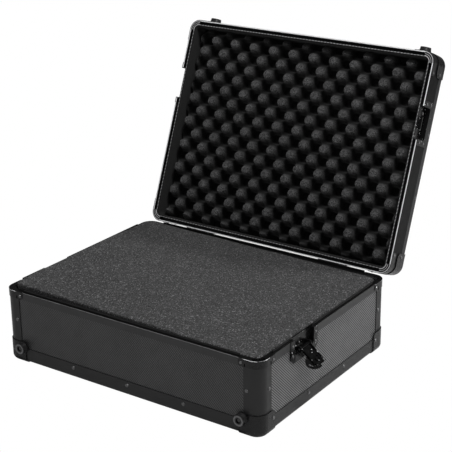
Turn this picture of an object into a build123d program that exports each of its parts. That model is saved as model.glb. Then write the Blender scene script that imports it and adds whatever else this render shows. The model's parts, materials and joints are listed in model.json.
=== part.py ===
from build123d import *
import math
import os

# Overall size. The base is measured from the underside of its edging to the mating plane,
# the lid from its own mating face to its top.
case_width = 520.0
case_depth = 394.0
base_height = 130.5
lid_height = 55.0
mating_gap = 0.4
lid_open_angle = 112.0

# Walls: a board held between the two flanges of an aluminium profile
board = 7.0
profile_wall = 1.2
wall = board + 2 * profile_wall
corner_radius = 19.0
arc_web = 1.5

# Rim of the base, with the tongue that the lid's groove closes over
rim_band = 13.5
rim_shoulder = 1.5
tongue_inset = 3.4
tongue_width = 1.8
tongue_height = 4.5
tongue_tip_radius = 0.6

# Frame profile of the lid
lid_band = 36.0
lid_outer_lip = 2.4
lid_inner_lip = 1.4
groove_depth = 7.0

# Edging along the bottom of the base and the top of the lid
base_edging = 26.5
lid_edging_gap = 0.4
edging_return = 23.0
edging_radius = 8.0

# Corner post, rim corner and corner cap
post_leg = 31.0
post_inner_leg = 27.0
rim_corner_leg = 40.0
rim_corner_skin = 0.9
rim_corner_round = 5.0
cap_leg = 40.0
base_cap_height = 37.5
lid_cap_height = 34.0
cap_thickness = 1.6
cap_inner_cut = 4.5
cap_round = 8.0
cap_cut = 14.0

# Levels
floor_z = cap_thickness
floor_top_z = floor_z + profile_wall + board
rim_z = floor_z + base_height
lid_z = rim_z + mating_gap
lid_board_z = lid_height - profile_wall - board

# Fasteners
head_sides = 10
head_taper = 22.0
rivet_radius = 3.2
rivet_height = 1.0
rivet_pitch_long = 114.0
rivet_pitch_short = 112.0
base_rivet_height = 19.0
lid_rivet_drop = 11.6
post_rivet_inset = 25.0
post_rivet_height = 77.5
cap_rivet_inset = 34.0
base_cap_rivet_height = 25.5
lid_cap_rivet_height = 22.0
corner_screw_radius = 2.6
corner_screw_inset = 35.0
corner_screw_drop = 7.5

# Feet that the case stands on when it is put on its front
foot_radius = 11.0
foot_tip_radius = 9.5
foot_height = 9.0
foot_inset = 34.0
base_foot_level = 28.0
lid_foot_level = 24.5
foot_bore = 4.2
foot_bore_depth = 3.5
foot_screw_radius = 3.6
foot_screw_height = 1.8

# Soft parts
lining = 2.0
lining_drop = 2.0
foam_gap = 0.5
foam_proud = 3.0
foam_edge_round = 4.0
lid_foam_base = 17.0
bump_height = 19.0
bump_foot_radius = 13.0
bump_taper = 20.0
bump_sides = 6
bump_pitch = 43.5
bump_row_pitch = 22.7
bump_shift_x = -8.0
bump_shift_y = -4.0
bump_margin = 15.0

# Hinges on the back
hinge_inset = 114.0
hinge_offset = case_width / 2 - hinge_inset
hinge_width = 56.0
hinge_axis_out = 4.0
hinge_axis_drop = 2.5
hinge_leaf = 1.5
hinge_barrel = 3.2
hinge_pin = 1.5
hinge_running = 0.06
hinge_press = 0.02
hinge_knuckles = 3
hinge_knuckle_gap = 0.4
hinge_relief = 4.4
base_leaf_height = 28.0
lid_leaf_height = 27.0
leaf_rivet_spread = 19.0
leaf_rivet_edge = 7.0

# Handle on the back, with its moulded surround
surround_width = 114.0
surround_height = 68.0
surround_top = 1.4
surround_plate = 2.0
surround_round = 5.0
hood_height = 10.0
hood_depth = 8.0
cheek_width = 15.0
cheek_height = 30.0
cheek_depth = 13.5
grip_pivot_drop = 28.0
grip_pivot_out = 7.0
grip_pin = 2.5
grip_running = 0.08
grip_eye = 4.7
grip_arm = 8.0
grip_side_gap = 0.5
grip_reach = 32.0
grip_bar_out = 3.2
grip_bar = 7.2
grip_edge = 2.0
grip_pin_depth = 9.0

# Twist latches on both ends
latch_y = -73.0
dish_half_width = 28.5
dish_depth = 6.8
dish_sheet = 1.2
dish_height = 27.0
dish_round = 5.0
flange_half_width = 39.5
flange_drop = 12.0
flange_cut = 7.0
flange_rivet_inset = 5.5
flange_rivet_levels = (9.0, 26.0)
dish_clearance = 0.3
dish_skin_gap = 0.1
latch_pivot_out = 1.0
latch_pivot_drop = 21.0
latch_pin = 1.5
latch_pin_running = 0.06
latch_pin_press = 0.02
latch_hang_angle = 40.0
lug_sheet = 2.0
lug_radius = 4.2
arm_half_width = 13.0
arm_side_gap = 0.3
arm_sheet = 1.5
arm_length = 36.0
arm_flange = 3.0
arm_knuckle = 3.0
arm_corner = 3.0
twist_at = 26.0
stem_radius = 2.5
stem_running = 0.08
slide_gap = 0.1
hook_sheet = 1.5
hook_half_width = 10.5
hook_lip_at = 35.5
hook_lip_depth = 3.9
hook_tail_at = 13.0
cam_radius = 3.6
cam_throw = 2.5
cam_play = 0.65
cam_side_play = 0.3
twist_rest = 32.0
twist_turn = 180.0
wing_disc_radius = 8.0
wing_disc_height = 2.4
wing_sheet = 1.6
wing_radius = 14.8
wing_foot = 5.2
wing_lean = 16.0
wing_slot_level = 10.0
wing_slot_length = 8.0
wing_slot_width = 2.6
keeper_half_width = 11.0
keeper_thickness = 3.2
keeper_clearance = 0.4
keeper_depth = 4.9


# Helpers
def block(x0, x1, y0, y1, z0, z1):
    """A rectangular block between two corners."""
    return Pos((x0 + x1) / 2, (y0 + y1) / 2, (z0 + z1) / 2) * Box(x1 - x0, y1 - y0, z1 - z0)


def run(points, length):
    """A straight profile along X. Its points are (inward from the outer face, up)."""
    outline = make_face(Polyline(*[(0, s, z) for s, z in points], close=True))
    return extrude(outline, amount=length / 2, dir=(1, 0, 0), both=True)


def on_side(side, piece):
    """Move a piece from the origin, with Y inward, to one side of the case."""
    places = {
        "front": Pos(0, -case_depth / 2, 0),
        "back": Pos(0, case_depth / 2, 0) * Rot(0, 0, 180),
        "right": Pos(case_width / 2, 0, 0) * Rot(0, 0, 90),
    }
    return places[side] * piece


def other_end(piece):
    """The mirror image of a piece at the other end of the case."""
    return mirror(piece, Plane.YZ)


def side_length(side):
    return case_width if side in ("front", "back") else case_depth


def corner_area(offset, leg):
    """Plan of one rounded case corner, grown outward by offset, reaching leg along both sides."""
    size = leg + offset
    square = Pos((leg - offset) / 2, (leg - offset) / 2) * Rectangle(size, size)
    outer = min(square.vertices(), key=lambda v: v.X + v.Y)
    return fillet(outer, corner_radius + offset)


def corner_ring(height, z0, inset=0.0, web=0.0):
    """The quarter ring of a corner, as thick as the wall, or a smaller one inside it."""
    r = corner_radius
    ring = Circle(r - inset) - Circle(r - wall + inset)
    quarter = ring & (Pos(-(r + web) / 2, -(r + web) / 2) * Rectangle(r - web, r - web))
    return Pos(r, r, z0) * extrude(quarter, amount=height)


def four_corners(piece):
    """One piece at each of the four corners of the case."""
    front_left = Pos(-case_width / 2, -case_depth / 2, 0) * piece
    left = [front_left, mirror(front_left, Plane.XZ)]
    return Compound(left + [other_end(p) for p in left])


def nearest_edge(piece, axis, point):
    return min(piece.edges().filter_by(axis), key=lambda e: (e.center() - Vector(*point)).length)


def inner_area(inset):
    """Plan of the inside of the case, at a distance in from the outer face."""
    width, depth = case_width - 2 * inset, case_depth - 2 * inset
    return RectangleRounded(width, depth, corner_radius - min(inset, wall + lining))


# Boards
def floor_board():
    plan = RectangleRounded(case_width - 2 * profile_wall, case_depth - 2 * profile_wall,
                            corner_radius - profile_wall)
    slab = extrude(plan, amount=board)
    outer = slab.faces().sort_by(Axis.Z)[0].edges()
    return chamfer(outer, edging_radius - profile_wall)


def base_floor():
    return Pos(0, 0, floor_z + profile_wall) * floor_board()


def lid_top():
    return Pos(0, 0, lid_height - profile_wall) * mirror(floor_board(), Plane.XY)


def base_board(side):
    half = side_length(side) / 2 - corner_radius
    piece = block(-half, half, profile_wall, profile_wall + board, floor_top_z, rim_z - rim_shoulder)
    if side == "right":
        piece -= dish_cut(-1, 2 * wall)
    return on_side(side, piece)


def dish_cut(way, depth):
    """The cut-out for a latch dish, below (way -1) or above (way 1) the mating plane."""
    half = dish_half_width + dish_sheet + dish_clearance
    reach = dish_height + dish_sheet + dish_clearance
    level = rim_z if way < 0 else 0.0
    low, high = sorted((level + way * reach, level - way * 2 * tongue_height))
    return block(latch_y - half, latch_y + half, -wall, depth, low, high)


# Profiles
def base_rim(side):
    band, shoulder = -rim_band, -rim_shoulder
    inner = wall - profile_wall
    channel = run([(0, band), (0, 0), (wall, 0), (wall, band), (inner, band), (inner, shoulder),
                   (profile_wall, shoulder), (profile_wall, band)],
                  side_length(side) - 2 * corner_radius)
    tongue_end = tongue_inset + tongue_width
    tongue = run([(tongue_inset, 0), (tongue_inset, tongue_height), (tongue_end, tongue_height),
                  (tongue_end, 0)], side_length(side) - 2 * rim_corner_leg)
    tongue = fillet(tongue.edges().filter_by(Axis.X).group_by(Axis.Z)[-1], tongue_tip_radius)
    piece = Pos(0, 0, rim_z) * (channel + tongue)
    if side == "right":
        piece -= dish_cut(-1, dish_depth + dish_sheet + dish_skin_gap)
    return on_side(side, piece)


def lid_frame(side):
    """The hollow frame profile of the lid, with the groove and the rebate for the edging."""
    w, top = profile_wall, lid_board_z
    groove_end = wall - lid_inner_lip
    length = side_length(side) - 2 * corner_radius
    outer = run([(0, 0), (0, lid_band), (w, lid_band), (w, top), (wall, top), (wall, 0), (groove_end, 0),
                 (groove_end, groove_depth), (lid_outer_lip, groove_depth), (lid_outer_lip, 0)], length)
    hollow = run([(w, groove_depth + w), (w, lid_band - w), (2 * w, lid_band - w), (2 * w, top - w),
                  (wall - w, top - w), (wall - w, groove_depth + w)], length)
    piece = outer - hollow
    if side == "right":
        piece -= dish_cut(1, dish_depth + dish_sheet + dish_skin_gap)
    return on_side(side, piece)


def edging(side, height):
    """The angle along the bottom edge, with its outer arris rounded."""
    w = profile_wall
    piece = run([(0, 0), (0, height), (w, height), (w, w), (edging_return, w), (edging_return, 0)],
                side_length(side) - 2 * post_leg)
    piece = fillet(nearest_edge(piece, Axis.X, (0, w, w)), edging_radius - w)
    piece = fillet(nearest_edge(piece, Axis.X, (0, 0, 0)), edging_radius)
    return on_side(side, piece)


def base_edge(side):
    return Pos(0, 0, floor_z) * edging(side, base_edging)


def lid_edge(side):
    height = lid_height - lid_band - lid_edging_gap
    return Pos(0, 0, lid_height) * mirror(edging(side, height), Plane.XY)


# Corners
def base_corner_posts():
    low, high = floor_top_z, rim_z - rim_band
    height = high - low
    outer = extrude(corner_area(0, post_leg) - corner_area(-profile_wall, post_leg + 1), amount=height)
    lip = wall - profile_wall
    inner = extrude(corner_area(-lip, post_inner_leg) - corner_area(-wall, post_inner_leg + 1),
                    amount=height)
    ring = corner_ring(height, 0) - corner_ring(height, 0, arc_web, arc_web)
    return four_corners(Pos(0, 0, low) * (outer + inner + ring))


def corner_skin():
    """The thin skin of a rim corner, lapping over the ends of both rims."""
    skin = extrude(corner_area(rim_corner_skin, rim_corner_leg) - corner_area(0, rim_corner_leg + 1),
                   amount=rim_band)
    for axis, point in ((Axis.Y, (rim_corner_leg, 0, 0)), (Axis.X, (0, rim_corner_leg, 0))):
        skin = fillet(nearest_edge(skin, axis, point), rim_corner_round)
    return skin


def base_rim_corners():
    return four_corners(Pos(0, 0, rim_z - rim_band) * (corner_skin() + corner_ring(rim_band, 0)))


def lid_rim_corners():
    ring = corner_ring(lid_board_z, 0) - corner_ring(lid_board_z, rim_shoulder * 2, arc_web, arc_web)
    skin = Pos(0, 0, rim_band) * mirror(corner_skin(), Plane.XY)
    return four_corners(skin + ring)


def corner_block(offset, leg, height, soften, size):
    """A block with the plan of one case corner, its bottom arris softened along the outer sides."""
    piece = extrude(corner_area(offset, leg), amount=height)
    low = piece.faces().sort_by(Axis.Z)[0].edges()
    return soften(low.filter_by(lambda e: max(e.center().X, e.center().Y) < leg - offset), size)


def corner_cap(height):
    """A pressed cap over one bottom corner, standing on z = 0."""
    t = cap_thickness
    shell = corner_block(t, cap_leg, height + t, fillet, edging_radius + t)
    shell -= Pos(0, 0, t) * corner_block(0, 2 * cap_leg, height, chamfer, cap_inner_cut)
    for axis, point in ((Axis.Y, (cap_leg, 0, height)), (Axis.X, (0, cap_leg, height))):
        shell = fillet(nearest_edge(shell, axis, point), cap_round)
    far_corner = Polyline((cap_leg, cap_cut), (cap_leg, cap_leg), (cap_cut, cap_leg), close=True)
    return shell - extrude(make_face(far_corner), amount=t)


def base_corner_caps():
    return four_corners(corner_cap(base_cap_height))


def lid_corner_caps():
    top = lid_height + cap_thickness
    return four_corners(Pos(0, 0, top) * mirror(corner_cap(lid_cap_height), Plane.XY))


# Fasteners
def head(radius, height):
    """A low fastener head on an outer face, pointing outward along -Y."""
    return Rot(90, 0, 0) * extrude(RegularPolygon(radius, head_sides), amount=height, taper=head_taper)


def heads_on_side(side, places, radius, out=0.0):
    """Heads at (along, up) places on one side, on a face that stands out by some amount."""
    row = [Pos(x, -out, z) * head(radius, rivet_height) for x, z in places]
    return [on_side(side, piece) for piece in row]


def edge_places(side, level):
    if side in ("front", "back"):
        return [(x, level) for x in (-rivet_pitch_long, 0, rivet_pitch_long)]
    return [(x, level) for x in (-rivet_pitch_short / 2, rivet_pitch_short / 2)]


def corner_places(side, inset, level):
    reach = side_length(side) / 2 - inset
    return [(-reach, level), (reach, level)]


def leaf_places(level):
    return [(x + dx, level) for x in (-hinge_offset, hinge_offset)
            for dx in (-leaf_rivet_spread, 0, leaf_rivet_spread)]


def all_sides(make):
    """Pieces on all four sides, the left ones as the mirror image of the right ones."""
    pieces = []
    for side in ("front", "back", "right"):
        made = make(side)
        pieces += made
        if side == "right":
            pieces += [other_end(p) for p in made]
    return pieces


def cap_rivets(side, level):
    """The rivets of the corner caps. On the front their place is taken by the feet."""
    if side == "front":
        return []
    return heads_on_side(side, corner_places(side, cap_rivet_inset, level), rivet_radius, cap_thickness)


def flange_rivets(side, way, level):
    """The rivets of a latch dish's flange, below (way -1) or above (way 1) a level."""
    if side != "right":
        return []
    reach = flange_half_width - flange_rivet_inset
    places = [(latch_y + dx, level + way * up) for dx in (-reach, reach) for up in flange_rivet_levels]
    return heads_on_side(side, places, corner_screw_radius, dish_sheet)


def base_rivets():
    def make(side):
        pieces = heads_on_side(side, edge_places(side, floor_z + base_rivet_height), rivet_radius)
        pieces += heads_on_side(side, corner_places(side, post_rivet_inset, floor_z + post_rivet_height),
                                rivet_radius)
        pieces += flange_rivets(side, -1, rim_z)
        return pieces + cap_rivets(side, base_cap_rivet_height)
    leaf_level = rim_z - hinge_axis_drop - base_leaf_height + leaf_rivet_edge
    leaves = heads_on_side("back", leaf_places(leaf_level), rivet_radius, hinge_leaf)
    return Compound(all_sides(make) + leaves)


def lid_rivets():
    def make(side):
        pieces = heads_on_side(side, edge_places(side, lid_height - lid_rivet_drop), rivet_radius)
        pieces += flange_rivets(side, 1, 0.0)
        return pieces + cap_rivets(side, lid_height + cap_thickness - lid_cap_rivet_height)
    leaf_level = lid_leaf_height - leaf_rivet_edge
    leaves = heads_on_side("back", leaf_places(leaf_level), rivet_radius, hinge_leaf)
    return Compound(all_sides(make) + leaves)


def corner_screws(level):
    def make(side):
        return heads_on_side(side, corner_places(side, corner_screw_inset, level), corner_screw_radius,
                             rim_corner_skin)
    return all_sides(make)


def foot_places(level):
    reach = case_width / 2 - foot_inset
    return [(-reach, level), (reach, level)]


def feet(level):
    """Two rubber feet on the front face, seated on the corner caps."""
    profile = Polyline((0, 0), (foot_radius, 0), (foot_tip_radius, foot_height), (foot_bore, foot_height),
                       (foot_bore, foot_height - foot_bore_depth), (0, foot_height - foot_bore_depth),
                       close=True)
    foot = revolve(make_face(Plane.XZ * profile), Axis.Z)
    foot = Rot(90, 0, 0) * foot
    return [on_side("front", Pos(x, -cap_thickness, z) * foot) for x, z in foot_places(level)]


def foot_screws(level):
    screw = head(foot_screw_radius, foot_screw_height)
    out = cap_thickness + foot_height - foot_bore_depth
    return [on_side("front", Pos(x, -out, z) * screw) for x, z in foot_places(level)]


# Soft parts
def lining_ring(low, high):
    ring = inner_area(wall) - inner_area(wall + lining)
    return Pos(0, 0, low) * extrude(ring, amount=high - low)


def base_lining():
    return lining_ring(floor_top_z, rim_z - lining_drop)


def lid_lining():
    return lining_ring(lining_drop, lid_board_z)


def base_foam():
    """The block of foam that fills the base, standing a little above the rim."""
    height = rim_z + foam_proud - floor_top_z
    block_of_foam = extrude(inner_area(wall + lining + foam_gap), amount=height)
    top = block_of_foam.faces().sort_by(Axis.Z)[-1].edges()
    return Pos(0, 0, floor_top_z) * fillet(top, foam_edge_round)


def lid_foam():
    """Convoluted foam: staggered rows of blunt peaks pointing down from a sheet."""
    inset = wall + lining + foam_gap
    top = lid_board_z
    sheet = Pos(0, 0, top - lid_foam_base) * extrude(inner_area(inset), amount=lid_foam_base)
    peak = extrude(RegularPolygon(bump_foot_radius, bump_sides), amount=bump_height, taper=bump_taper)
    peak = Pos(0, 0, top - lid_foam_base) * Rot(180, 0, 0) * peak
    half_x = case_width / 2 - inset - bump_margin
    half_y = case_depth / 2 - inset - bump_margin
    count = math.ceil(case_depth / 2 / bump_row_pitch)
    steps = range(-count, count + 1)
    places = [(bump_shift_x + (column + (row % 2) / 2) * bump_pitch, bump_shift_y + row * bump_row_pitch)
              for row in steps for column in steps]
    return sheet + [Pos(x, y, 0) * peak for x, y in places if abs(x) < half_x and abs(y) < half_y]


# Hinges
def hinge_axis():
    return case_depth / 2 + hinge_axis_out, rim_z - hinge_axis_drop


def knuckle_spans(x):
    """The X spans of a hinge's knuckles, in turn for the base leaf and the lid leaf."""
    pitch = hinge_width / hinge_knuckles
    left = x - hinge_width / 2
    return [(left + i * pitch + hinge_knuckle_gap / 2, left + (i + 1) * pitch - hinge_knuckle_gap / 2)
            for i in range(hinge_knuckles)]


def barrel(x0, x1, radius):
    y, z = hinge_axis()
    return Pos((x0 + x1) / 2, y, z) * Rot(0, 90, 0) * Cylinder(radius, x1 - x0)


def hinge_leaf_piece(x, way):
    """One leaf: way -1 hangs down on the base, way 1 stands up on the lid."""
    y, z = hinge_axis()
    face = case_depth / 2
    height = base_leaf_height if way < 0 else lid_leaf_height + hinge_axis_drop + mating_gap
    low, high = sorted((z, z + way * height))
    spans = knuckle_spans(x)
    own = spans[0::2] if way < 0 else spans[1::2]
    others = spans[1::2] if way < 0 else spans[0::2]
    plate = block(x - hinge_width / 2, x + hinge_width / 2, face, face + hinge_leaf, low, high)
    corners = plate.edges().filter_by(Axis.Y).group_by(Axis.Z)[0 if way < 0 else -1]
    plate = fillet(corners, dish_round)
    for x0, x1 in own:
        plate += barrel(x0, x1, hinge_barrel)
    for x0, x1 in others:
        plate -= barrel(x0 - hinge_knuckle_gap, x1 + hinge_knuckle_gap, hinge_relief)
    bore = hinge_pin + (hinge_press if way < 0 else hinge_running)
    return plate - barrel(x - hinge_width, x + hinge_width, bore)


def hinge_pin_piece(x):
    return barrel(x - hinge_width / 2, x + hinge_width / 2, hinge_pin)


# Handle
def on_back(piece):
    """Place a piece drawn with Y outward from the back face and Z from the mating plane."""
    return Pos(0, case_depth / 2, rim_z) * piece


def handle_surround():
    half = surround_width / 2
    low, high = -surround_top - surround_height, -surround_top
    plate = block(-half, half, 0, surround_plate, low, high)
    pad = block(-half, half, -profile_wall, 0, low, -rim_band - arm_side_gap)
    plate = fillet((plate + pad).edges().filter_by(Axis.Y).group_by(Axis.Z)[0], surround_round)
    hood = block(-half, half, 0, hood_depth, high - hood_height, high)
    body = plate + hood
    cheek_low = -grip_pivot_drop - cheek_height / 2
    for x0 in (-half, half - cheek_width):
        cheek = block(x0, x0 + cheek_width, 0, cheek_depth, cheek_low, high - hood_height)
        outer = cheek.edges().filter_by(Axis.X).group_by(Axis.Y)[-1]
        body += fillet(outer, dish_round)
    pivot = Pos(0, grip_pivot_out, -grip_pivot_drop) * Rot(0, 90, 0)
    reach = half - cheek_width
    for way in (-1, 1):
        body -= pivot * Pos(0, 0, way * (reach + grip_pin_depth / 2)) * Cylinder(
            grip_pin + grip_running, grip_pin_depth + 2 * arm_side_gap)
    return on_back(body)


def handle_grip():
    """The swinging grip: two arms with their pivot pins, and the bar between them."""
    outer = surround_width / 2 - cheek_width - grip_side_gap
    bar_z = -grip_pivot_drop - grip_reach
    bar_y = grip_pivot_out + grip_bar_out
    pivot = Pos(0, grip_pivot_out, -grip_pivot_drop) * Rot(0, 90, 0)
    bar = Pos(0, bar_y, bar_z) * Rot(0, 90, 0) * Cylinder(grip_bar, 2 * outer)
    piece = chamfer(bar.edges(), grip_edge)
    for way in (-1, 1):
        x0, x1 = sorted((way * outer, way * (outer - grip_arm)))
        eye = pivot * Pos(0, 0, (x0 + x1) / 2) * Cylinder(grip_eye, grip_arm)
        low = block(x0, x1, bar_y - grip_eye, bar_y + grip_eye, bar_z, bar_z + 1)
        high = block(x0, x1, grip_pivot_out - grip_eye, grip_pivot_out + grip_eye,
                     -grip_pivot_drop - 1, -grip_pivot_drop)
        arm = loft([low.faces().sort_by(Axis.Z)[-1], high.faces().sort_by(Axis.Z)[0]], ruled=True)
        pin = pivot * Pos(0, 0, way * (outer + grip_pin_depth / 2)) * Cylinder(grip_pin, grip_pin_depth)
        piece = piece + eye + low + arm + high + pin
    return on_back(piece)


# Latches, drawn at the right end: X outward from the side face, Z from the mating plane
def at_end(piece, level=0.0):
    return Pos(case_width / 2, latch_y, level) * piece


def rounded_pocket(half_width, depth, x0, x1, way):
    """A pocket open at the mating plane, with its far corners rounded, in the Y-Z plane."""
    tall = block(x0, x1, -half_width, half_width, *sorted((-way * 2 * dish_round, way * depth)))
    far = tall.edges().filter_by(Axis.X).group_by(Axis.Z)[0 if way < 0 else -1]
    return fillet(far, dish_round) & block(x0, x1, -half_width, half_width, *sorted((0.0, way * depth)))


def dish(way):
    """A pressed dish: an outer flange and a pocket that sinks into the wall."""
    t = dish_sheet
    flange_height = dish_height + flange_drop
    flange = block(0, t, -flange_half_width, flange_half_width, *sorted((0.0, way * flange_height)))
    far = flange.edges().filter_by(Axis.X).group_by(Axis.Z)[0 if way < 0 else -1]
    flange = chamfer(far, flange_cut)
    pan = rounded_pocket(dish_half_width + t, dish_height + t, -dish_depth - t, 0, way)
    hollow = rounded_pocket(dish_half_width, dish_height, -dish_depth, 2 * t, way)
    return flange + pan - hollow


def latch_dish():
    """The base dish with the two lugs that carry the arm's pin."""
    body = dish(-1)
    inner = arm_half_width + 2 * arm_side_gap
    for way in (-1, 1):
        y0, y1 = sorted((way * inner, way * (inner + lug_sheet)))
        foot = block(-dish_depth, latch_pivot_out, y0, y1, -latch_pivot_drop - lug_radius,
                     -latch_pivot_drop + lug_radius)
        eye = Pos(latch_pivot_out, (y0 + y1) / 2, -latch_pivot_drop) * Rot(90, 0, 0) * Cylinder(
            lug_radius, lug_sheet)
        body = body + foot + eye
    bore = Rot(90, 0, 0) * Cylinder(latch_pin + latch_pin_press, 2 * inner + 4 * lug_sheet)
    return at_end(body - Pos(latch_pivot_out, 0, -latch_pivot_drop) * bore, rim_z)


def keeper_level():
    """Height above the lid's mating face of the keeper's top, just under the drawn-down hook."""
    return hook_lip_at - cam_throw - latch_pivot_drop - mating_gap - keeper_clearance


def latch_keeper():
    """The lid dish with the lip that the hook pulls down on."""
    top = keeper_level()
    lip = block(-dish_depth, -dish_depth + keeper_depth, -keeper_half_width, keeper_half_width,
                top - keeper_thickness, top)
    lip = fillet(lip.edges().filter_by(Axis.Y).group_by(Axis.X)[-1], keeper_thickness / 4)
    return at_end(dish(1) + lip)


def swing(piece):
    """Turn a latch piece from the closed, upright arm frame to the hanging pose."""
    hang = Pos(latch_pivot_out, 0, -latch_pivot_drop) * Rot(0, 90 + latch_hang_angle, 0)
    return at_end(hang * piece, rim_z)


def latch_pin_piece():
    half = arm_half_width + 2 * arm_side_gap + lug_sheet
    pin = Rot(90, 0, 0) * Cylinder(latch_pin, 2 * half)
    return at_end(Pos(latch_pivot_out, 0, -latch_pivot_drop) * pin, rim_z)


def latch_arm():
    """The hinged arm: a channel with a knuckle at its root and the hole for the twist stem."""
    half, t = arm_half_width, arm_sheet / 2
    plate = block(-t, t, -half, half, 0, arm_length)
    plate = fillet(plate.edges().filter_by(Axis.X).group_by(Axis.Z)[-1], arm_corner)
    for y0, y1 in ((-half, -half + arm_sheet), (half - arm_sheet, half)):
        plate += block(-arm_flange, -t, y0, y1, 0, arm_length - arm_corner)
    knuckle = Rot(90, 0, 0) * Cylinder(arm_knuckle, 2 * half)
    plate = plate + knuckle
    plate -= Rot(90, 0, 0) * Cylinder(latch_pin + latch_pin_running, 4 * half)
    hole = Pos(0, 0, twist_at) * Rot(0, 90, 0) * Cylinder(stem_radius + stem_running, 4 * t)
    return swing(plate - hole)


def hook_shift():
    """How far the hook stands out from its middle place in the photographed pose."""
    return cam_throw - 2 * cam_throw * twist_rest / twist_turn


def latch_hook():
    """The sliding hook under the arm, with the window that the cam turns in."""
    outer = -arm_sheet / 2 - slide_gap
    inner = outer - hook_sheet
    plate = block(inner, outer, -hook_half_width, hook_half_width, hook_tail_at, hook_lip_at + hook_sheet)
    lip = block(inner - hook_lip_depth, outer, -hook_half_width, hook_half_width, hook_lip_at,
                hook_lip_at + hook_sheet)
    half_u = cam_radius + cam_play
    half_w = cam_radius + cam_throw + cam_side_play
    window = block(inner, outer, -half_w, half_w, twist_at - half_u, twist_at + half_u)
    lip = chamfer(lip.edges().filter_by(Axis.X).group_by(Axis.Z)[-1], hook_sheet / 2)
    return swing(Pos(0, 0, hook_shift()) * (plate + lip - window))


def wing():
    """One standing wing of the twist handle: a half disc with a slot near its rounded edge."""
    outline = Circle(wing_radius) & (Pos(0, wing_radius / 2) * Rectangle(2 * wing_radius, wing_radius))
    outline -= Pos(0, wing_slot_level) * SlotOverall(wing_slot_length, wing_slot_width)
    return extrude(Plane.XZ * outline, amount=wing_sheet / 2, both=True)


def latch_wings():
    """The twist handle: stem, cam, disc and two wings, drawn along the arm's outward normal."""
    t = arm_sheet / 2
    base = Cylinder(wing_disc_radius, wing_disc_height, align=(Align.CENTER, Align.CENTER, Align.MIN))
    body = Pos(0, 0, t + slide_gap) * base
    stem_length = 2 * t + 2 * slide_gap
    body += Pos(0, 0, t + slide_gap - stem_length) * Cylinder(
        stem_radius, stem_length, align=(Align.CENTER, Align.CENTER, Align.MIN))
    cam = Cylinder(cam_radius, hook_sheet, align=(Align.CENTER, Align.CENTER, Align.MAX))
    body += Pos(0, cam_throw, -t - slide_gap) * cam
    for way in (-1, 1):
        side = Pos(way * wing_foot, 0, t) * Rot(0, way * wing_lean, 0) * Rot(0, 0, 90) * wing()
        keep = block(-2 * wing_radius, 2 * wing_radius, -2 * wing_radius, 2 * wing_radius,
                     t + slide_gap, 2 * wing_radius)
        body += side & keep
    return body


def latch_wings_right():
    # Local X runs along the case side and local Y up the arm, so the handle's axis is the arm's normal.
    turned = Rot(0, 0, -twist_rest) * latch_wings()
    upright = Pos(0, 0, twist_at) * Location(Plane(origin=(0, 0, 0), x_dir=(0, 1, 0), z_dir=(1, 0, 0)))
    return swing(upright * turned)


# Assembly
def open_lid(piece):
    """Move a lid piece from its own mating plane onto the case and swing it open."""
    y, z = hinge_axis()
    return Pos(0, y, z) * Rot(-lid_open_angle, 0, 0) * Pos(0, -y, -z) * Pos(0, 0, lid_z) * piece


def base_nodes():
    nodes = {"base_floor": base_floor()}
    for side in ("front", "back", "right"):
        for name, make in (("board", base_board), ("rim", base_rim), ("bottom_edge", base_edge)):
            nodes["base_%s_%s" % (side, name)] = make(side)
    for name in ("board", "rim", "bottom_edge"):
        nodes["base_left_%s" % name] = other_end(nodes["base_right_%s" % name])
    nodes["base_corner_posts"] = base_corner_posts()
    nodes["base_rim_corners"] = base_rim_corners()
    nodes["base_corner_caps"] = base_corner_caps()
    nodes["base_rivets"] = base_rivets()
    foot_z = floor_z + base_foot_level
    nodes["base_screws"] = Compound(corner_screws(rim_z - corner_screw_drop) + foot_screws(foot_z))
    nodes["base_feet"] = Compound(feet(foot_z))
    nodes["base_lining"] = base_lining()
    nodes["base_foam"] = base_foam()
    return nodes


def lid_nodes():
    nodes = {"lid_top": lid_top()}
    for side in ("front", "back", "right"):
        nodes["lid_%s_frame" % side] = lid_frame(side)
        nodes["lid_%s_edge" % side] = lid_edge(side)
    for name in ("frame", "edge"):
        nodes["lid_left_%s" % name] = other_end(nodes["lid_right_%s" % name])
    foot_z = lid_height - lid_foot_level
    nodes["lid_rim_corners"] = lid_rim_corners()
    nodes["lid_corner_caps"] = lid_corner_caps()
    nodes["lid_rivets"] = lid_rivets()
    nodes["lid_screws"] = Compound(corner_screws(corner_screw_drop) + foot_screws(foot_z))
    nodes["lid_feet"] = Compound(feet(foot_z))
    nodes["lid_lining"] = lid_lining()
    nodes["lid_foam"] = lid_foam()
    nodes["latch_keeper_right"] = latch_keeper()
    nodes["latch_keeper_left"] = other_end(latch_keeper())
    return {name: open_lid(piece) for name, piece in nodes.items()}


def hinge_nodes():
    nodes = {}
    for end, x in (("left", -hinge_offset), ("right", hinge_offset)):
        nodes["hinge_base_leaf_%s" % end] = hinge_leaf_piece(x, -1)
        nodes["hinge_pin_%s" % end] = hinge_pin_piece(x)
        nodes["hinge_lid_leaf_%s" % end] = open_lid(Pos(0, 0, -lid_z) * hinge_leaf_piece(x, 1))
    return nodes


def latch_nodes():
    makers = {"dish": latch_dish, "pin": latch_pin_piece, "arm": latch_arm, "hook": latch_hook,
              "wings": latch_wings_right}
    nodes = {}
    for name, make in makers.items():
        piece = make()
        nodes["latch_%s_right" % name] = piece
        nodes["latch_%s_left" % name] = other_end(piece)
    return nodes


def build():
    nodes = base_nodes()
    nodes.update(lid_nodes())
    nodes.update(hinge_nodes())
    nodes.update(latch_nodes())
    nodes["handle_surround"] = handle_surround()
    nodes["handle_grip"] = handle_grip()
    boxes = [piece.bounding_box() for piece in nodes.values()]
    middle = round((min(b.min.Y for b in boxes) + max(b.max.Y for b in boxes)) / 2, 3)
    return {name: Pos(0, -middle, 0) * piece for name, piece in nodes.items()}, middle


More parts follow.
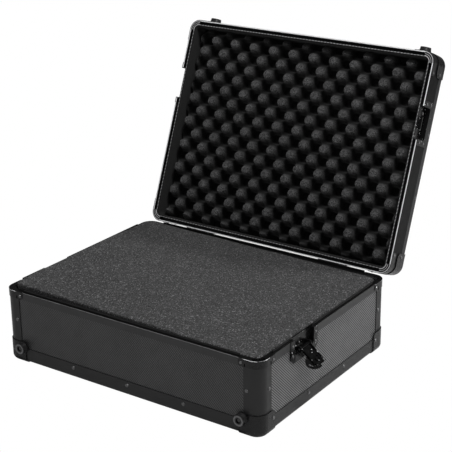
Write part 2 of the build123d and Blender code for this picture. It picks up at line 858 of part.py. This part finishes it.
nodes, middle_y = build()
os.makedirs("parts", exist_ok=True)
for name, piece in nodes.items():
    export_step(piece, "parts/%s.step" % name)
print(len(nodes), "nodes, the case's own middle lies at y = %.3f" % -middle_y)
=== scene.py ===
import json
import math

import bpy
from mathutils import Matrix, Vector, noise

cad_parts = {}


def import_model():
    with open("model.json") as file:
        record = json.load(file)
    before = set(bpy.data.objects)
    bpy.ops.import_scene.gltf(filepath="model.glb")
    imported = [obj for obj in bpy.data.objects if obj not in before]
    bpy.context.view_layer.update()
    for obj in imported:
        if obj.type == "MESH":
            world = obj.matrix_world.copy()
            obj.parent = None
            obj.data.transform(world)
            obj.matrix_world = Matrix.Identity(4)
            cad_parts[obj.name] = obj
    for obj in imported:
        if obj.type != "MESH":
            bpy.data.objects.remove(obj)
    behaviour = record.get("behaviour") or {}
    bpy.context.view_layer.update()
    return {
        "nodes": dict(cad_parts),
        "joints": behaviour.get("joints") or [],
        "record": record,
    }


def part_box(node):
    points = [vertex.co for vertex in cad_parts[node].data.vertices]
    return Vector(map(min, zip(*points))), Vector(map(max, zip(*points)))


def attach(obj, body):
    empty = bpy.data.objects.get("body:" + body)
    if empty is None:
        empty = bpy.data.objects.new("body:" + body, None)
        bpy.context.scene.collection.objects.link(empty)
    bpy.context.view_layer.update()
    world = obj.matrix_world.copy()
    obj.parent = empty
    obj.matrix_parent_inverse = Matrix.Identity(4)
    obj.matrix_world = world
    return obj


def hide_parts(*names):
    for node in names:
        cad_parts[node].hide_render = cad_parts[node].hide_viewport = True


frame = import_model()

nodes = frame["nodes"]
joints = {j["name"]: j for j in frame["joints"]}


# Places, from the frame and from a few sizes of the case that the frame doesn't give by themselves
mm = 0.001
mating_gap = 0.4 * mm
cap_thickness = 1.6 * mm
case_round = 19.0 * mm
foot_radius = 11.0 * mm
hinge = Vector(joints["lid_hinge"]["pos_m"])
open_angle = math.radians(joints["lid_hinge"]["range_deg"][1])
base_low, base_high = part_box("base_corner_caps")
mid = (base_low + base_high) / 2
rim_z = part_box("base_rim_corners")[1].z
half_x = (base_high.x - base_low.x) / 2 - cap_thickness
half_y = (base_high.y - base_low.y) / 2 - cap_thickness
feet_low, feet_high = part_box("base_feet")
foot_x = feet_high.x - foot_radius
foot_z = (feet_low.z + feet_high.z) / 2

# The base's own frame and the closed lid's own frame, each with z up from its mating face
opened = Matrix.Translation(hinge) @ Matrix.Rotation(-open_angle, 4, "X") @ Matrix.Translation(-hinge)
base_frame = Matrix.Translation((0, mid.y, rim_z))
lid_frame = opened @ Matrix.Translation((0, mid.y, rim_z + mating_gap))


# Small helpers
def add_mesh(name, verts, faces, matrix=None, smooth=True):
    mesh = bpy.data.meshes.new(name)
    mesh.from_pydata([tuple(v) for v in verts], [], faces)
    mesh.update()
    obj = bpy.data.objects.new(name, mesh)
    bpy.context.scene.collection.objects.link(obj)
    if matrix is not None:
        mesh.transform(matrix)
    if smooth:
        mesh.polygons.foreach_set("use_smooth", [True] * len(mesh.polygons))
    return obj


def place(obj, body, material):
    obj.data.materials.clear()
    obj.data.materials.append(material)
    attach(obj, body)
    return obj


# Materials. A line is at full strength over its core, as a share of its half width
noise_low, noise_high = 0.3, 0.7
line_core = 0.6
band_blur = 0.1 * mm
cool_tint = (1.0, 1.0, 1.02)
foam_tint = (1.0, 1.0, 1.015)


class Shader:
    """One procedural material, built in object coordinates in metres."""

    def __init__(self, name):
        self.mat = bpy.data.materials.new(name)
        self.mat.use_nodes = True
        self.tree = self.mat.node_tree
        self.bsdf = self.tree.nodes["Principled BSDF"]
        self.coords = self.node("ShaderNodeTexCoord").outputs["Object"]

    def node(self, kind, **values):
        made = self.tree.nodes.new(kind)
        for key, value in values.items():
            if hasattr(made, key):
                setattr(made, key, value)
            else:
                made.inputs[key].default_value = value
        return made

    def link(self, a, b):
        self.tree.links.new(a, b)

    def axes(self):
        """The three object coordinates, as sockets named X, Y and Z."""
        made = self.node("ShaderNodeSeparateXYZ")
        self.link(self.coords, made.inputs[0])
        return made.outputs

    def noise(self, scale, detail=2.0, roughness=0.5):
        made = self.node("ShaderNodeTexNoise", Scale=scale, Detail=detail, Roughness=roughness)
        self.link(self.coords, made.inputs["Vector"])
        return made.outputs["Fac"]

    def cells(self, scale):
        """A random value for each small cell."""
        made = self.node("ShaderNodeTexVoronoi", Scale=scale)
        self.link(self.coords, made.inputs["Vector"])
        parts = self.node("ShaderNodeSeparateColor")
        self.link(made.outputs["Color"], parts.inputs[0])
        return parts.outputs["Red"]

    def ramp(self, value, low, high, a, b):
        """Maps a value from low..high to a..b."""
        made = self.node("ShaderNodeMapRange")
        self.link(value, made.inputs["Value"])
        for key, level in (("From Min", low), ("From Max", high), ("To Min", a), ("To Max", b)):
            made.inputs[key].default_value = level
        return made.outputs["Result"]

    def spread(self, noise_value, a, b):
        """Maps the part of its range that a noise mostly covers to a..b."""
        return self.ramp(noise_value, noise_low, noise_high, a, b)

    def math(self, kind, a, b=0.0):
        made = self.node("ShaderNodeMath", operation=kind)
        for slot, value in enumerate((a, b)):
            if isinstance(value, (int, float)):
                made.inputs[slot].default_value = value
            else:
                self.link(value, made.inputs[slot])
        return made.outputs[0]

    def times(self, a, b):
        return self.math("MULTIPLY", a, b)

    def plus(self, a, b):
        return self.math("ADD", a, b)

    def length(self, a, b):
        """The distance that two steps at right angles make."""
        return self.math("SQRT", self.plus(self.times(a, a), self.times(b, b)))

    def grey(self, value, tint=(1.0, 1.0, 1.0)):
        """A colour socket from a grey value socket."""
        made = self.node("ShaderNodeCombineColor")
        for channel, share in zip(("Red", "Green", "Blue"), tint):
            self.link(self.times(value, share), made.inputs[channel])
        return made.outputs[0]

    def along(self, matrix, axis):
        """The coordinate on one axis of a frame, for a point in object coordinates."""
        inverse = matrix.inverted()
        made = self.node("ShaderNodeVectorMath", operation="DOT_PRODUCT")
        self.link(self.coords, made.inputs[0])
        made.inputs[1].default_value = inverse[axis][:3]
        return self.plus(made.outputs["Value"], inverse[axis][3])

    def height(self, matrix):
        return self.along(matrix, 2)

    def inset(self, matrix, radius):
        """Distance inwards from the rounded outline of the case."""
        steps = []
        for axis, half in enumerate((half_x, half_y)):
            past = self.math("SUBTRACT", self.math("ABSOLUTE", self.along(matrix, axis)), half - radius)
            steps.append(self.math("MAXIMUM", past, 0.0))
        return self.math("SUBTRACT", radius, self.length(*steps))

    def line(self, value, at, half):
        """1 where a value lies within half of a level."""
        away = self.math("ABSOLUTE", self.math("SUBTRACT", value, at))
        return self.ramp(away, half * line_core, half, 1.0, 0.0)

    def band(self, value, low, high):
        """1 where a value lies between two levels."""
        above = self.ramp(value, low - band_blur, low, 0.0, 1.0)
        below = self.ramp(value, high, high + band_blur, 1.0, 0.0)
        return self.times(above, below)

    def finish(self, colour, roughness, bump, strength, distance, metallic=0.0, specular=0.5):
        self.link(colour, self.bsdf.inputs["Base Color"])
        if isinstance(roughness, (int, float)):
            self.bsdf.inputs["Roughness"].default_value = roughness
        else:
            self.link(roughness, self.bsdf.inputs["Roughness"])
        self.bsdf.inputs["Metallic"].default_value = metallic
        self.bsdf.inputs["Specular IOR Level"].default_value = specular
        made = self.node("ShaderNodeBump", Strength=strength, Distance=distance)
        self.link(bump, made.inputs["Height"])
        self.link(made.outputs[0], self.bsdf.inputs["Normal"])
        return self.mat

    def sheen(self, weight, roughness):
        self.bsdf.inputs["Sheen Weight"].default_value = weight
        self.bsdf.inputs["Sheen Roughness"].default_value = roughness


# Ribbed boards: a strong set of slanted ribs, crossed by a faint one. Each is (slant, share)
rib_ways = ((1.0, 0.8), (-1.0, 0.2))
rib_crest = 0.3


def ribs(s, period, across):
    """Crossing slanted ribs in the plane of a board. across names the board's level axis."""
    axes = s.axes()
    waves = []
    for way, share in rib_ways:
        slant = s.plus(axes[across], s.times(axes["Z"], way))
        turn = s.times(slant, 2 * math.pi / (period * math.sqrt(2)))
        waves.append(s.times(s.math("SINE", turn), share))
    return s.plus(*waves)


def board_material(name, across, base, contrast, period):
    s = Shader(name)
    grain = ribs(s, period, across)
    cloud = s.spread(s.noise(scale=9.0, detail=3.0), 0.92, 1.08)
    value = s.ramp(grain, -rib_crest, rib_crest, base * (1 - contrast), base * (1 + contrast))
    rough = s.spread(s.noise(scale=40.0, detail=3.0), 0.42, 0.55)
    colour = s.grey(s.times(value, cloud), cool_tint)
    return s.finish(colour, rough, bump=grain, strength=0.25, distance=0.25 * mm, specular=0.45)


# Painted highlights and painted shade on metal, as functions that give a value to add to the paint's own.
# Pairs are (from, to), and the patches of a painted highlight are a ramp from a noise: (low, high, highlight
# at low, highlight at high)
lip_depth = (0.25 * mm, 0.4 * mm)
highlight_stripe_pitch = 6.5 * mm
highlight_stripe_edge = 0.6
highlight_stripe_low = 0.35
arris_half = 0.5 * mm
arris_noise = 45.0
even_highlight = (0.3, 0.6, 0.4, 1.0)
patchy_highlight = (0.5, 0.62, 0.0, 1.0)
hole_radius = (4.4 * mm, 4.8 * mm)
hole_shade = -0.09
ring_radius = 7.6 * mm
ring_half = 1.7 * mm
ring_highlight = 0.11


def lid_lip_highlight(s, lines):
    """Painted highlight lines on the lid's mating face, some in slanted stripes: (inset, half width, value,
    striped) each.
    """
    near = s.ramp(s.height(lid_frame), *lip_depth, 1.0, 0.0)
    inset = s.inset(lid_frame, case_round)
    slant = s.plus(s.along(lid_frame, 0), s.along(lid_frame, 1))
    # Slanted stripes of painted reflection along the highlight lines
    wave = s.math("SINE", s.times(slant, 2 * math.pi / highlight_stripe_pitch))
    stripe_share = s.ramp(wave, -highlight_stripe_edge, highlight_stripe_edge, highlight_stripe_low, 1.0)
    total = 0.0
    for at, half, value, striped in lines:
        stripe = s.times(s.line(inset, at, half), value)
        total = s.plus(total, s.times(stripe, stripe_share) if striped else stripe)
    return s.times(total, near)


def base_arris_highlight(s, arris, patches):
    """Painted highlight in patches along the arris at the top of the base's rim."""
    edge = s.line(s.height(base_frame), -arris_half, arris_half)
    patchy = s.ramp(s.noise(scale=arris_noise, detail=3.0), *patches)
    return s.times(s.times(edge, patchy), arris)


def foot_painted_light(s):
    """Painted light on the feet on the base's front: a painted highlight on the ring of their face, and
    painted shade in the screw hole.
    """
    axes = s.axes()
    across = s.math("SUBTRACT", s.math("ABSOLUTE", axes["X"]), foot_x)
    up = s.math("SUBTRACT", axes["Z"], foot_z)
    radius = s.length(across, up)
    ring = s.times(s.line(radius, ring_radius, ring_half), ring_highlight)
    return s.plus(s.ramp(radius, *hole_radius, hole_shade, 0.0), ring)


scuff_from, scuff_to = 0.55, 0.8
scuff_light = 1.24
rough_from, rough_to = 0.4, 0.75
scuff_rough = 0.12
shade_share = 0.03
darkest = 0.001
glint_from, glint_to = 0.69, 0.73


def metal_paint(name, base, rough, metallic=0.0, specular=0.5, painted_light=None, dark=None, glints=0.0):
    """Painted or anodised metal.

    painted_light is a function that adds painted highlights and painted shade, dark is (frame, from, to) of a
    band of painted shade, and glints is the value of small painted glints, bright spots that stand in for
    reflections.
    """
    s = Shader(name)
    fine = s.noise(scale=900.0)
    cloud = s.noise(scale=14.0, detail=4.0)
    scuff = s.noise(scale=120.0, detail=6.0, roughness=0.7)
    value = s.spread(cloud, base * 0.9, base * 1.12)
    value = s.times(value, s.ramp(scuff, scuff_from, scuff_to, 1.0, scuff_light))
    if dark is not None:
        matrix, low, high = dark
        band = s.band(s.height(matrix), low, high)
        value = s.times(value, s.ramp(band, 0.0, 1.0, 1.0, shade_share))
    if painted_light is not None:
        value = s.math("MAXIMUM", s.plus(value, painted_light(s)), darkest)
    if glints:
        # Painted glints: small bright spots that stand in for reflections
        spots = s.noise(scale=210.0, detail=1.0)
        value = s.plus(value, s.ramp(spots, glint_from, glint_to, 0.0, glints))
    rough_map = s.ramp(scuff, rough_from, rough_to, rough, min(1.0, rough + scuff_rough))
    return s.finish(s.grey(value, cool_tint), rough_map, bump=fine, strength=0.12, distance=0.1 * mm,
                    metallic=metallic, specular=specular)


cell_scale = 820.0
glint_scale = 680.0
glint_cells = (0.91, 0.95)
pit_shade_power = 1.7


def foam_material(name, base, sparkle, pit_shade=None):
    """Open-cell foam. pit_shade is (frame, tip level, pit level): painted shade that darkens the foam from
    tip to pit.
    """
    s = Shader(name)
    coarse = s.noise(scale=300.0, detail=3.0, roughness=0.7)
    cloud = s.spread(s.noise(scale=12.0, detail=3.0), 0.93, 1.07)
    speck = s.ramp(s.cells(cell_scale), 0.0, 1.0, base * 0.08, base * 1.72)
    value = s.times(s.times(speck, cloud), s.spread(coarse, 0.75, 1.25))
    value = s.plus(value, s.ramp(s.cells(glint_scale), *glint_cells, 0.0, base * sparkle))
    if pit_shade is not None:
        matrix, tip_level, pit_level = pit_shade
        # Painted shade, darker the deeper the foam lies
        light = s.ramp(s.height(matrix), tip_level, pit_level, 1.0, 0.0)
        value = s.times(value, s.math("POWER", light, pit_shade_power))
    s.sheen(0.1, 0.6)
    colour = s.grey(value, foam_tint)
    return s.finish(colour, 0.96, bump=coarse, strength=0.6, distance=0.8 * mm, specular=0.1)


def felt_material(name, base):
    s = Shader(name)
    fibre = s.noise(scale=700.0, detail=4.0, roughness=0.7)
    value = s.spread(fibre, base * 0.75, base * 1.25)
    s.sheen(0.04, 0.5)
    return s.finish(s.grey(value), 0.95, bump=fibre, strength=0.5, distance=0.4 * mm, specular=0.2)


# Heights of painted shade are (frame, from, to): over the base rim's shoulder and tongue, and along the lid
# frames' joint with the edging
foam_pit_shade = (lid_frame, 10.5 * mm, 26.0 * mm)
base_top = (base_frame, -0.2 * mm, 9.0 * mm)
edging_joint = (lid_frame, 34.8 * mm, 37.0 * mm)

# Painted highlight lines are (inset, half width, value, striped)
frame_highlights = (
    (0.9 * mm, 1.1 * mm, 0.9, False),
    (8.6 * mm, 0.9 * mm, 0.35, True),
)
corner_highlights = (
    (0.9 * mm, 0.7 * mm, 0.6, False),
    (4.6 * mm, 0.6 * mm, 0.4, False),
    (8.0 * mm, 0.7 * mm, 0.6, False),
)

# Metal looks start with a grey value and a roughness
looks = {
    # The side boards are the front boards' laminate, painted lighter for the light that falls on the sides
    "board_front": board_material("board_front", across="X", base=0.029, contrast=0.95, period=3.7 * mm),
    "board_side_painted_light": board_material("board_side_painted_light", across="Y", base=0.089, contrast=0.96, period=3.3 * mm),
    "profile_black": metal_paint("profile_black", 0.016, 0.38, specular=0.25),
    "profile_base_front": metal_paint("profile_base_front", 0.028, 0.42, specular=0.3, dark=base_top,
                                      painted_light=lambda s: base_arris_highlight(s, 0.3, even_highlight)),
    "profile_base_rim": metal_paint("profile_base_rim", 0.03, 0.42, specular=0.3, dark=base_top),
    # The lid frames are painted darker than the base rims of the same profile, as shade
    "profile_lid_frame": metal_paint("profile_lid_frame", 0.0085, 0.4, specular=0.05, dark=edging_joint,
                                     painted_light=lambda s: lid_lip_highlight(s, frame_highlights)),
    "corner_black": metal_paint("corner_black", 0.007, 0.24, specular=0.22),
    "corner_base_rim": metal_paint("corner_base_rim", 0.007, 0.24, specular=0.22, dark=base_top,
                                   painted_light=lambda s: base_arris_highlight(s, 1.3, patchy_highlight)),
    "corner_lid_rim": metal_paint("corner_lid_rim", 0.007, 0.34, specular=0.3,
                                  painted_light=lambda s: lid_lip_highlight(s, corner_highlights)),
    "hardware_black": metal_paint("hardware_black", 0.007, 0.2, specular=0.15, glints=0.5),
    "latch_black": metal_paint("latch_black", 0.003, 0.14, specular=0.1, glints=0.5),
    "rivet_black": metal_paint("rivet_black", 0.085, 0.32, metallic=0.3, specular=0.6),
    "pin_steel": metal_paint("pin_steel", 0.3, 0.3, metallic=1.0),
    "foot_rubber": metal_paint("foot_rubber", 0.02, 0.2, specular=0.6),
    "screw_front": metal_paint("screw_front", 0.085, 0.2, specular=0.6, painted_light=foot_painted_light),
    "foot_front": metal_paint("foot_front", 0.02, 0.25, specular=0.3, painted_light=foot_painted_light),
    "grip_plastic": metal_paint("grip_plastic", 0.02, 0.5, specular=0.4),
    "foam_charcoal": foam_material("foam_charcoal", base=0.047, sparkle=3.2),
    "foam_lid": foam_material("foam_lid", base=0.066, sparkle=0.5, pit_shade=foam_pit_shade),
    "lining_grey": felt_material("lining_grey", base=0.02),
}


def look_of(name, slot_name):
    """Some nodes share a slot but face another way and are painted lighter for the light on them, carry
    painted highlights on their lips and painted shade on their tops, or carry painted shade in the feet's
    screw holes.
    """
    if slot_name == "board_black":
        return "board_side_painted_light" if ("left" in name or "right" in name) else "board_front"
    if name.startswith("base_") and name.endswith("_rim"):
        return "profile_base_front" if "front" in name else "profile_base_rim"
    if name.startswith("lid_") and name.endswith("_frame"):
        return "profile_lid_frame"
    own_looks = {
        "base_feet": "foot_front",
        "base_screws": "screw_front",
        "base_rim_corners": "corner_base_rim",
        "lid_rim_corners": "corner_lid_rim",
    }
    return own_looks.get(name, slot_name)


slots = {row["node"]: row["material_slot"] for row in frame["record"]["subparts"]}
sharp_slots = ("profile_black", "corner_black", "hardware_black", "latch_black", "rivet_black", "foot_rubber")
worn_width = 0.3 * mm
worn_angle = math.radians(50)
for name, obj in nodes.items():
    obj.data.materials.clear()
    obj.data.materials.append(looks[look_of(name, slots[name])])
    if slots[name] in sharp_slots:
        edge = obj.modifiers.new("worn_edge", "BEVEL")
        edge.width = worn_width
        edge.segments = 2
        edge.angle_limit = worn_angle


# The convoluted foam of the lid, in the closed lid's own frame
foam_inset = 11.9 * mm
foam_back = 46.8 * mm
valley = 33.0 * mm
tip = 10.0 * mm
pitch_x = 43.7 * mm
pitch_y = 22.9 * mm
first_peak = (-139.7 * mm, -139.7 * mm)
drift_x = -0.026
drift_y = 0.025
row_power = 1.6
rise_from = 0.26
rise_span = 0.54
foam_fade = 11.0 * mm
fade_power = 0.5
lid_lump = 0.6 * mm
lid_lump_scale = 60.0
lid_columns, lid_rows = 330, 250


def foam_wave(x, y):
    """0 in a pit and 1 on a peak, in staggered rows that drift a little across the sheet."""
    dx, dy = x - first_peak[0], y - first_peak[1]
    turn = 2 * math.pi * (dx - drift_x * dy) / pitch_x
    row_wave = math.cos(math.pi * (dy - drift_y * dx) / pitch_y)
    narrow = math.copysign(abs(row_wave) ** row_power, row_wave)
    return 0.5 + 0.5 * math.cos(turn) * narrow


def bump_height(x, y):
    """A peak that rises softly from the pits and is rounded on top."""
    rise = min(1.0, max(0.0, (foam_wave(x, y) - rise_from) / rise_span))
    return rise * rise * (3 - 2 * rise)


def close_below(verts, faces, ring, level):
    """Walls from a ring of vertices to a level and a flat face there, so that the piece is closed."""
    start, count = len(verts), len(ring)
    verts += [(verts[k][0], verts[k][1], level) for k in ring]
    for n in range(count):
        m = (n + 1) % count
        faces.append((ring[n], ring[m], start + m, start + n))
    faces.append(tuple(range(start, start + count)))


def convoluted_foam():
    """A sheet of peaks that flatten towards its edge, closed by a flat back."""
    hx, hy = half_x - foam_inset, half_y - foam_inset
    verts, faces = [], []
    for j in range(lid_rows + 1):
        for i in range(lid_columns + 1):
            x = -hx + 2 * hx * i / lid_columns
            y = -hy + 2 * hy * j / lid_rows
            edge = min(1.0, (hx - abs(x)) / foam_fade, (hy - abs(y)) / foam_fade)
            z = valley - (valley - tip) * bump_height(x, y) * edge ** fade_power
            z += lid_lump * noise.noise(Vector((x, y, 0.0)) * lid_lump_scale)
            verts.append((x, y, z))
    row = lid_columns + 1
    for j in range(lid_rows):
        for i in range(lid_columns):
            k = j * row + i
            faces.append((k, k + row, k + row + 1, k + 1))
    ring = list(range(lid_columns))
    ring += [j * row + lid_columns for j in range(lid_rows)]
    ring += [lid_rows * row + i for i in range(lid_columns, 0, -1)]
    ring += [j * row for j in range(lid_rows, 0, -1)]
    close_below(verts, faces, ring, foam_back)
    return add_mesh("convoluted_foam", verts, faces, lid_frame)


foam = place(convoluted_foam(), "lid", looks["foam_lid"])
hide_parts("lid_foam")


# The foam block of the base, in the base's own frame. Slits are (x, y, half length, turn in degrees)
block_gap = 0.2 * mm
foam_right = -1.0 * mm
foam_left = 9.9 * mm
foam_high = 9.4 * mm
foam_under = -122.2 * mm
foam_round = 2.6 * mm
foam_corner = 12.0 * mm
foam_crown = 1.2 * mm
sag_back = 0.4
sag_front = 0.15
sag_power = 2.5
block_lump = 0.5 * mm
block_lump_scale = 18.0
block_lump_level = 0.02
slits = ((-157.0 * mm, 134.0 * mm, 15.0 * mm, 1.5), (218.0 * mm, 171.0 * mm, 17.0 * mm, -14.0))
slit_deep = 2.5 * mm
slit_half = 1.2 * mm
corner_steps, side_steps = 8, 60
round_rings, top_rings = 6, 70


def rounded_ring(hx, hy, radius):
    """Points around a rounded rectangle, turning from its right side to its back."""
    arcs = []
    for corner, (sx, sy) in enumerate(((1, 1), (-1, 1), (-1, -1), (1, -1))):
        middle_x, middle_y = sx * (hx - radius), sy * (hy - radius)
        turns = [math.pi / 2 * (corner + k / corner_steps) for k in range(corner_steps + 1)]
        arcs.append([(middle_x + radius * math.cos(a), middle_y + radius * math.sin(a)) for a in turns])
    points = []
    for arc, following in zip(arcs, arcs[1:] + arcs[:1]):
        (x0, y0), (x1, y1) = arc[-1], following[0]
        shares = [k / side_steps for k in range(1, side_steps)]
        points += arc + [(x0 + (x1 - x0) * t, y0 + (y1 - y0) * t) for t in shares]
    return points


def slit_depth(x, y):
    """1 in the middle of a thin cut in the foam's top, and 0 away from the cuts."""
    depth = 0.0
    for slit_x, slit_y, half, turn in slits:
        a = math.radians(turn)
        along = (x - slit_x) * math.cos(a) + (y - slit_y) * math.sin(a)
        across = -(x - slit_x) * math.sin(a) + (y - slit_y) * math.cos(a)
        depth = max(depth, math.exp(-(across / slit_half) ** 2) * max(0.0, 1 - (along / half) ** 4))
    return depth


def block_level(x, y, hx, hy):
    """The top of the block: high on the left, low on the right, and crowned."""
    sag = sag_front if y < 0 else sag_back
    swell = (0.5 - 0.5 * x / hx) * (1 - sag * abs(y / hy) ** sag_power)
    level = foam_right + (foam_left - foam_right) * swell
    level += foam_crown * math.cos(math.pi * x / hx / 2) * math.cos(math.pi * y / hy / 2)
    level += block_lump * noise.noise(Vector((x, y, block_lump_level)) * block_lump_scale)
    return min(level, foam_high) - slit_deep * slit_depth(x, y)


def base_foam():
    """Rings that shrink from the outline to the middle, the first of them around the rounded edge."""
    hx, hy = half_x - foam_inset - block_gap, half_y - foam_inset - block_gap
    outline = rounded_ring(hx, hy, foam_corner)
    shares = [1 - foam_round * (k / round_rings) ** 2 / hy for k in range(round_rings + 1)]
    shares += [shares[-1] * (1 - k / top_rings) for k in range(1, top_rings)]
    verts, faces = [], []
    for share in shares:
        edge_gap = min(foam_round, (1 - share) * hy)
        drop = foam_round - math.sqrt(foam_round ** 2 - (foam_round - edge_gap) ** 2)
        for outer_x, outer_y in outline:
            x, y = outer_x * share, outer_y * share
            verts.append((x, y, block_level(x, y, hx, hy) - drop))
    count = len(outline)
    for j in range(len(shares) - 1):
        for i in range(count):
            n = (i + 1) % count
            faces.append((j * count + i, j * count + n, (j + 1) * count + n, (j + 1) * count + i))
    last = (len(shares) - 1) * count
    faces.append(tuple(range(last, last + count)))
    close_below(verts, faces, list(range(count))[::-1], foam_under)
    return add_mesh("base_foam_block", verts, faces, base_frame)


block = place(base_foam(), "base", looks["foam_charcoal"])
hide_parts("base_foam")


# Near-black boxes painted as the shade inside the slots beside the round of each post, where the rim's
# profiles end under the rim corner
slot_from = 29.0 * mm
slot_half = 0.7 * mm
slot_deep = 0.3 * mm
slot_low = 13.0 * mm
slot_high = 7.5 * mm


def add_box(verts, faces, x, y, reach_x, reach_y):
    """A small box around a point, in the slots' range of height."""
    start = len(verts)
    x0, x1, y0, y1 = x - reach_x, x + reach_x, y - reach_y, y + reach_y
    plan = ((x0, y0), (x1, y0), (x1, y1), (x0, y1))
    verts += [(*spot, z) for z in (rim_z - slot_low, rim_z - slot_high) for spot in plan]
    for face in ((3, 2, 1, 0), (4, 5, 6, 7), (0, 1, 5, 4), (1, 2, 6, 5), (2, 3, 7, 6), (3, 0, 4, 7)):
        faces.append(tuple(start + k for k in face))


def post_slot_shade():
    low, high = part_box("base_rim_corners")
    verts, faces = [], []
    for way_x, side_x in ((-1, low.x), (1, high.x)):
        for way_y, side_y in ((-1, low.y), (1, high.y)):
            add_box(verts, faces, side_x - way_x * slot_from, side_y, slot_half, slot_deep)
            add_box(verts, faces, side_x, side_y - way_y * slot_from, slot_deep, slot_half)
    return add_mesh("post_slot_shade", verts, faces, smooth=False)


place(post_slot_shade(), "base", metal_paint("slot_shade", 0.002, 0.9, specular=0.05))


# Stage and light. Lights are (name, place, size, watts)
white = (1, 1, 1, 1)
floor_grey = (0.9, 0.9, 0.9, 1)
floor_half = 6
background_level = 1.0
ambient_level = 0.10
light_target = (0, mid.y, 0.15)
lights = (
    ("key", (0.9, mid.y - 0.2, 2.4), (0.5, 0.5), 34),
    ("kicker", (1.2, mid.y + 1.43, 1.95), (0.25, 0.25), 22),
    ("side", (1.9, -1.0, 1.9), (1.0, 0.8), 5),
    ("fill", (-1.6, -2.0, 1.2), (2.0, 1.5), 8),
)

# The camera, solved from points of the case in the photograph. Its focal length and centre are in pixels
photo_side = 452
focal_px = 1270.1
centre_px = (270.2, 220.5)
sensor_width = 36.0
camera_azimuth = math.radians(33.05)
camera_pitch = math.radians(20.44)
camera_roll = math.radians(-0.02)
camera_spot = Vector((1.1971, mid.y - 1.6104, rim_z + 0.8592))


def stage():
    """A pale floor, which the camera itself sees as plain white."""
    ways = ((-1, -1), (1, -1), (1, 1), (-1, 1))
    corners = [(way_x * floor_half, way_y * floor_half, 0) for way_x, way_y in ways]
    floor = add_mesh("floor", corners, [(0, 1, 2, 3)], smooth=False)
    mat = bpy.data.materials.new("floor_white")
    mat.use_nodes = True
    tree = mat.node_tree
    surface = tree.nodes["Principled BSDF"]
    surface.inputs["Base Color"].default_value = floor_grey
    surface.inputs["Roughness"].default_value = 0.9
    floor.data.materials.append(mat)
    path = tree.nodes.new("ShaderNodeLightPath")
    glow = tree.nodes.new("ShaderNodeEmission")
    glow.inputs["Color"].default_value = white
    glow.inputs["Strength"].default_value = 1.0
    mix = tree.nodes.new("ShaderNodeMixShader")
    tree.links.new(path.outputs["Is Camera Ray"], mix.inputs["Fac"])
    tree.links.new(surface.outputs[0], mix.inputs[1])
    tree.links.new(glow.outputs[0], mix.inputs[2])
    tree.links.new(mix.outputs[0], tree.nodes["Material Output"].inputs["Surface"])


def world(camera_level, light_level):
    """A white background, which lights the case less than it shows."""
    made = bpy.data.worlds.new("studio")
    bpy.context.scene.world = made
    made.use_nodes = True
    tree = made.node_tree
    back = tree.nodes["Background"]
    path = tree.nodes.new("ShaderNodeLightPath")
    level = tree.nodes.new("ShaderNodeMapRange")
    level.inputs["To Min"].default_value = light_level
    level.inputs["To Max"].default_value = camera_level
    tree.links.new(path.outputs["Is Camera Ray"], level.inputs["Value"])
    tree.links.new(level.outputs["Result"], back.inputs["Strength"])
    back.inputs["Color"].default_value = white


def area(name, spot, target, size, power):
    light = bpy.data.lights.new(name, "AREA")
    light.shape = "RECTANGLE"
    light.size, light.size_y = size
    light.energy = power
    obj = bpy.data.objects.new(name, light)
    bpy.context.scene.collection.objects.link(obj)
    obj.location = spot
    obj.rotation_mode = "QUATERNION"
    obj.rotation_quaternion = (Vector(target) - Vector(spot)).to_track_quat("-Z", "Y")


def camera():
    data = bpy.data.cameras.new("camera")
    obj = bpy.data.objects.new("camera", data)
    bpy.context.scene.collection.objects.link(obj)
    bpy.context.scene.camera = obj
    data.sensor_width = sensor_width
    data.lens = focal_px / photo_side * sensor_width
    data.shift_x = (photo_side / 2 - centre_px[0]) / photo_side
    data.shift_y = (centre_px[1] - photo_side / 2) / photo_side
    data.clip_start, data.clip_end = 0.05, 50
    level_x, level_y = -math.sin(camera_azimuth), math.cos(camera_azimuth)
    flat = math.cos(camera_pitch)
    forward = Vector((level_x * flat, level_y * flat, -math.sin(camera_pitch)))
    right = Vector((level_y, -level_x, 0))
    up = right.cross(forward)
    turn = Matrix.Rotation(camera_roll, 3, forward)
    axes = Matrix((turn @ right, turn @ up, -forward)).transposed()
    obj.matrix_world = Matrix.Translation(camera_spot) @ axes.to_4x4()


bpy.context.scene.view_settings.view_transform = "Standard"
stage()
world(background_level, ambient_level)
for name, spot, size, power in lights:
    area(name, spot, light_target, size, power)
camera()
